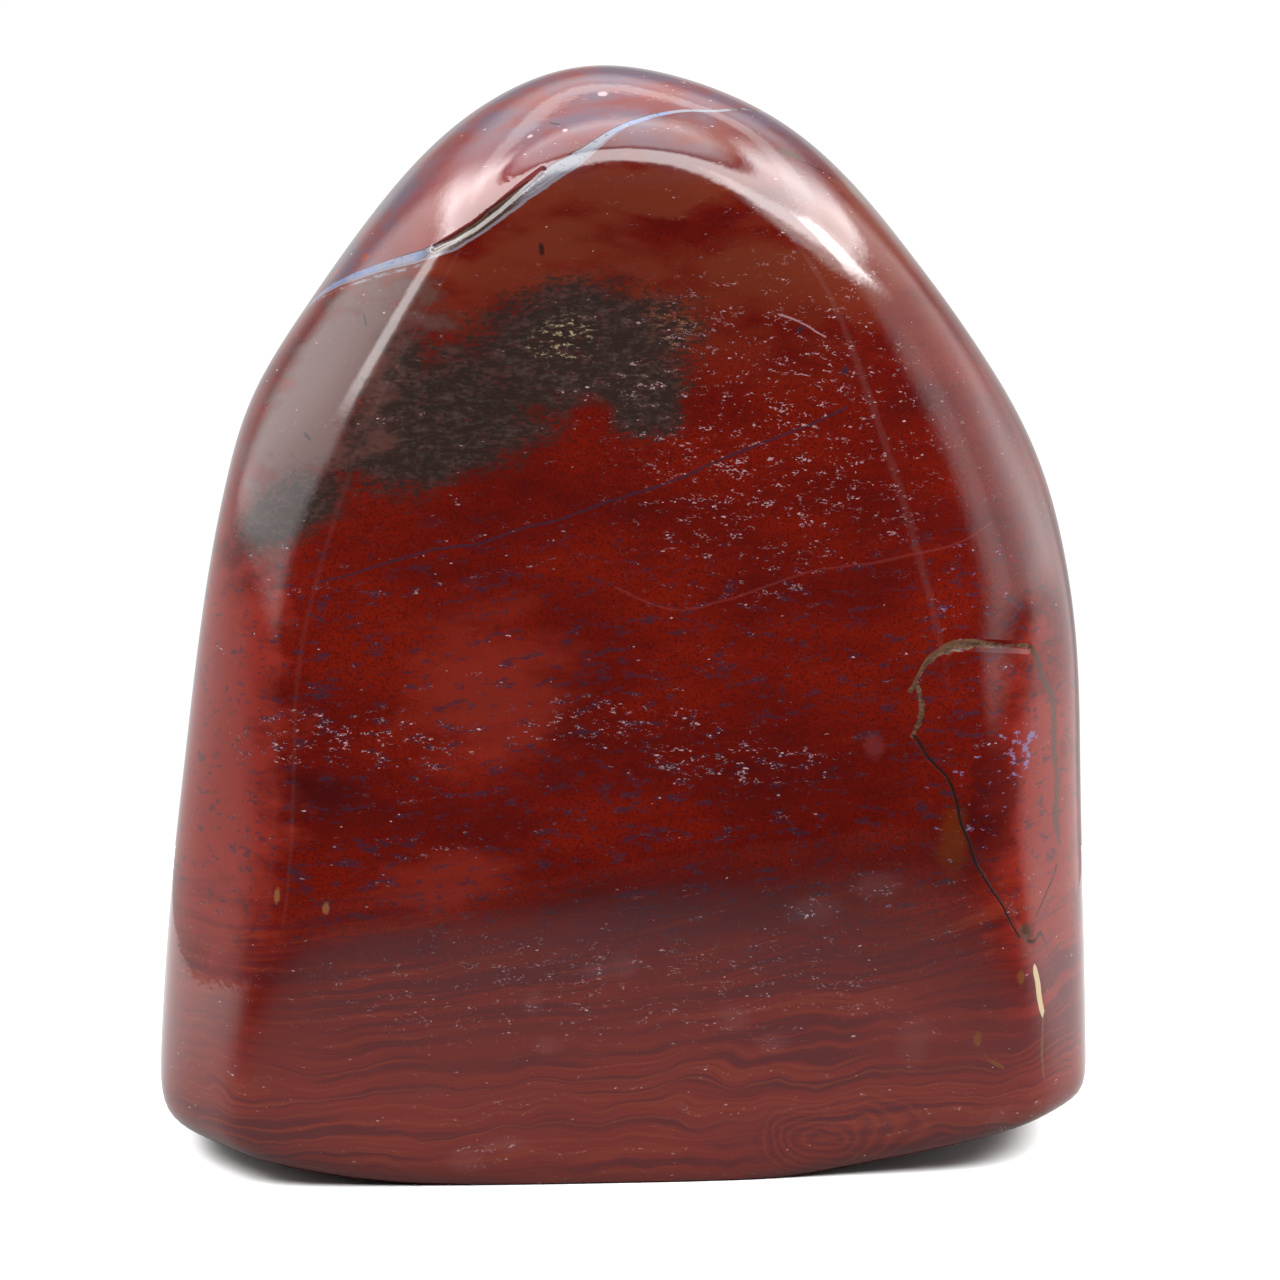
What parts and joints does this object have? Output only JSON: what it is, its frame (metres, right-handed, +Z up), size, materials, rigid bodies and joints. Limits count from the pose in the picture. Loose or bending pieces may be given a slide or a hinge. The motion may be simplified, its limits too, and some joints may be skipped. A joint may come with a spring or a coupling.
{
  "type": "polished red jasper freeform stone",
  "caption": "Freestanding arch-topped block of red jasper, ground to soft flats, polished all over and sawn level underneath.",
  "frame": {"origin": "on the surface that the stone stands on, under the middle of its width and depth", "axes": "+Z up to the rounded top, +X to the right as the front is seen, -Y out of the broad front face"},
  "size_m": [0.1084, 0.069, 0.1245],
  "materials": {
    "polished_jasper": "high natural polish on red jasper"
  },
  "bodies": {
    "root": {"jasper_stone": "polished_jasper"}
  },
  "joints": []
}
